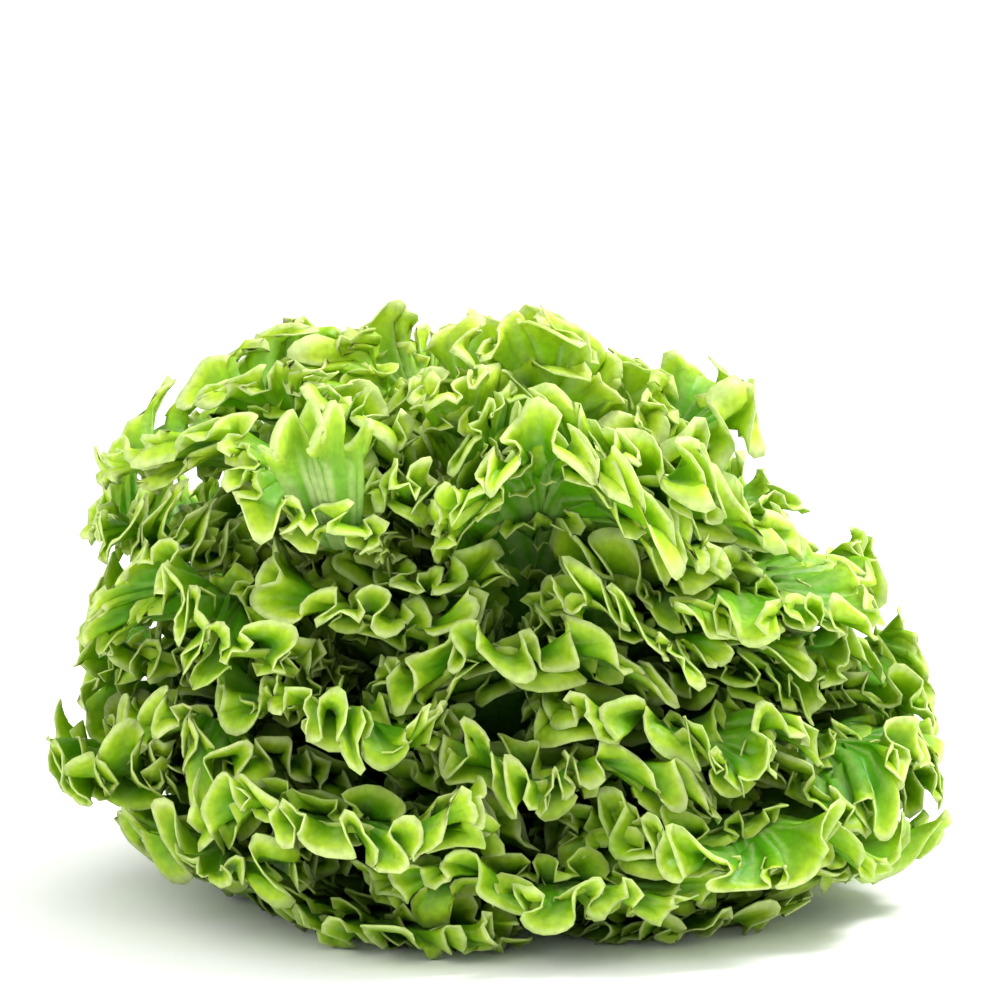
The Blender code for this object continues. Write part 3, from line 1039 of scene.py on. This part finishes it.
    def thin_columns(self, mesh: bpy.types.Mesh, row: np.ndarray, column: np.ndarray,
                     frill: Frill) -> None:
        """Takes out columns where the sheet is plainer, and joins the halves along the rib.

        Args:
            mesh: The grid.
            row: Row of each vertex.
            column: Column of each vertex.
            frill: The sheet.
        """
        ends = np.empty(len(mesh.edges) * 2, np.int32)
        mesh.edges.foreach_get("vertices", ends)
        ends = ends.reshape(-1, 2)
        plain = column[ends[:, 0]] == column[ends[:, 1]]
        plain &= column[ends[:, 0]] % frill.kept_step(row[ends].max(axis=1)) != 0
        bpy.ops.object.mode_set(mode="EDIT")
        bpy.ops.mesh.select_mode(type="EDGE")
        bpy.ops.mesh.select_all(action="DESELECT")
        bpy.ops.object.mode_set(mode="OBJECT")
        mesh.edges.foreach_set("select", plain)
        bpy.ops.object.mode_set(mode="EDIT")
        bpy.ops.mesh.dissolve_edges()
        bpy.ops.mesh.select_all(action="SELECT")
        bpy.ops.mesh.remove_doubles(threshold=1e-6)
        bpy.ops.mesh.normals_make_consistent(inside=False)
        bpy.ops.object.mode_set(mode="OBJECT")


@dataclass
class CutStem:
    """The short stem: a rounded crown, scars of picked leaves, and a flat cut end."""

    finish: StemFinish = StemFinish()
    cut_height: float = 0.0025
    crown_height: float = 0.028
    radius: float = 0.0208
    cut_radius: float = 0.0158
    lowest: float = math.radians(125)
    scar_height: float = 0.0003

    def profile(self, way: np.ndarray) -> tuple[np.ndarray, np.ndarray]:
        """Outline of the stem.

        Args:
            way: 0 at the top of the crown, 1 at the middle of the cut.

        Returns:
            Radius and height.
        """
        rounds = np.linspace(0, self.lowest, 30)
        radius = self.radius * np.sin(rounds)
        height = self.crown_height + self.radius * np.cos(rounds)
        cut = self.cut_radius
        radius = np.concatenate([radius, [cut, cut - 0.0004, cut - 0.0015, cut / 2, 0.0]])
        height = np.concatenate([height, [0.0015, 0.0004, 0.0, 0.0, 0.0]])
        run = added_up(np.hypot(np.diff(radius), np.diff(height)))
        run /= run[-1]
        return np.interp(way, run, radius), np.interp(way, run, height)

    def build(self) -> bpy.types.Object:
        """Models the stem.

        Returns:
            The finished piece.
        """
        low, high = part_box("stem")
        bpy.ops.object.select_all(action="DESELECT")
        bpy.ops.mesh.primitive_uv_sphere_add(segments=72, ring_count=64, radius=1)
        piece = bpy.context.object
        piece.name = piece.data.name = "cut_stem"
        mesh = piece.data
        ball = points_of(mesh)
        turn = np.arctan2(ball[:, 1], ball[:, 0])
        way = np.arccos(np.clip(ball[:, 2], -1, 1)) / math.pi
        radius, height = self.profile(way)
        scar = np.sin(5 * turn + 46 * way) * np.sin(math.pi * way) ** 2
        radius = np.maximum(radius - self.scar_height * (0.5 + 0.5 * scar) * (radius > 0.004), 0)
        centre = (Vector(low) + Vector(high)) / 2
        x, y = centre.x + radius * np.cos(turn), centre.y + radius * np.sin(turn)
        place = np.stack([x, y, height], -1)
        mesh.vertices.foreach_set("co", place.astype(np.float32).ravel())
        bpy.ops.object.shade_smooth()
        mesh.materials.append(self.finish.make(self.cut_height))
        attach(piece, "root")
        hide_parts("stem")
        return piece


@dataclass
class Studio:
    """Plain pale floor that sweeps up behind the lettuce, soft lights and the camera."""

    lens: float = 162.5
    distance: float = 1.5
    elevation: float = math.radians(7)
    aim: tuple[float, float, float] = (0.0, 0.0, 0.132)
    floor_colour: str = "FFFFFF"
    sky: float = 1.16            # strength of the even light all round
    lit_height: float = 0.1      # height that the lights face

    def add_camera(self) -> None:
        """Adds the camera at the photograph's angle."""
        data = bpy.data.cameras.new("camera")
        data.lens = self.lens
        camera = bpy.data.objects.new("camera", data)
        bpy.context.scene.collection.objects.link(camera)
        back = Vector((0, -math.cos(self.elevation), math.sin(self.elevation)))
        camera.location = Vector(self.aim) + back * self.distance
        camera.rotation_euler = back.to_track_quat("Z", "Y").to_euler()
        bpy.context.scene.camera = camera

    def add_floor(self) -> None:
        """Adds the floor, which curves up into a wall far behind."""
        bpy.ops.object.select_all(action="DESELECT")
        bpy.ops.mesh.primitive_grid_add(x_subdivisions=4, y_subdivisions=60, size=2)
        floor = bpy.context.object
        floor.name = floor.data.name = "studio_floor"
        for vertex in floor.data.vertices:
            run = (vertex.co.y + 1) / 2 * 14 - 5
            radius, bend = 2.5, 4.0
            angle = min(max((run - bend) / radius, 0), math.pi / 2)
            rest = max(run - bend - radius * math.pi / 2, 0)
            vertex.co = (vertex.co.x * 7, min(run, bend) + radius * math.sin(angle),
                         radius * (1 - math.cos(angle)) + rest)
        bpy.ops.object.shade_smooth()
        material = bpy.data.materials.new("matt white paint")
        material.use_nodes = True
        shader = material.node_tree.nodes["Principled BSDF"]
        shader.inputs["Base Color"].default_value = linear(self.floor_colour)
        shader.inputs["Roughness"].default_value = 0.9
        floor.data.materials.append(material)

    def add_light(self, name: str, place: tuple[float, float, float], size: float,
                  power: float) -> None:
        """Adds one soft light that faces the lettuce.

        Args:
            name: Its name.
            place: Where it stands.
            size: Side of its square face.
            power: Watts.
        """
        data = bpy.data.lights.new(name, "AREA")
        data.size = size
        data.energy = power
        light = bpy.data.objects.new(name, data)
        bpy.context.scene.collection.objects.link(light)
        light.location = place
        away = Vector(place) - Vector((0, 0, self.lit_height))
        light.rotation_euler = away.to_track_quat("Z", "Y").to_euler()

    def build(self) -> None:
        """Sets up the studio."""
        self.add_camera()
        self.add_floor()
        world = bpy.data.worlds.new("studio")
        world.use_nodes = True
        world.node_tree.nodes["Background"].inputs["Color"].default_value = (1, 1, 1, 1)
        world.node_tree.nodes["Background"].inputs["Strength"].default_value = self.sky
        bpy.context.scene.world = world
        self.add_light("key", (0.9, 0.3, 1.4), 0.6, 32)
        self.add_light("fill", (-0.6, -1.1, 0.8), 0.8, 6)
        bpy.context.scene.view_settings.view_transform = "Standard"


def triangles(piece: bpy.types.Object) -> int:
    """Counts a piece's triangles."""
    piece.data.calc_loop_triangles()
    return len(piece.data.loop_triangles)


def main() -> None:
    """Builds the pieces in order and reports each one."""
    logging.basicConfig(level=logging.INFO, format="%(name)s: %(message)s")
    Studio().build()
    stem = CutStem().build()
    log.info("%s: %d triangles", stem.name, triangles(stem))
    low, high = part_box("stem")
    shift = np.array([(low[0] + high[0]) / 2, (low[1] + high[1]) / 2, 0.0])
    materials = {age: finish.make() for age, finish in FINISHES.items()}
    total = triangles(stem)
    for form in Head().leaves():
        piece = FrilledLeaf(form, shift).build(materials[form.age])
        count = triangles(piece)
        total += count
        log.info("%s: %d triangles", piece.name, count)
    log.info("all pieces: %d triangles", total)


if __name__ == "__main__":
    main()
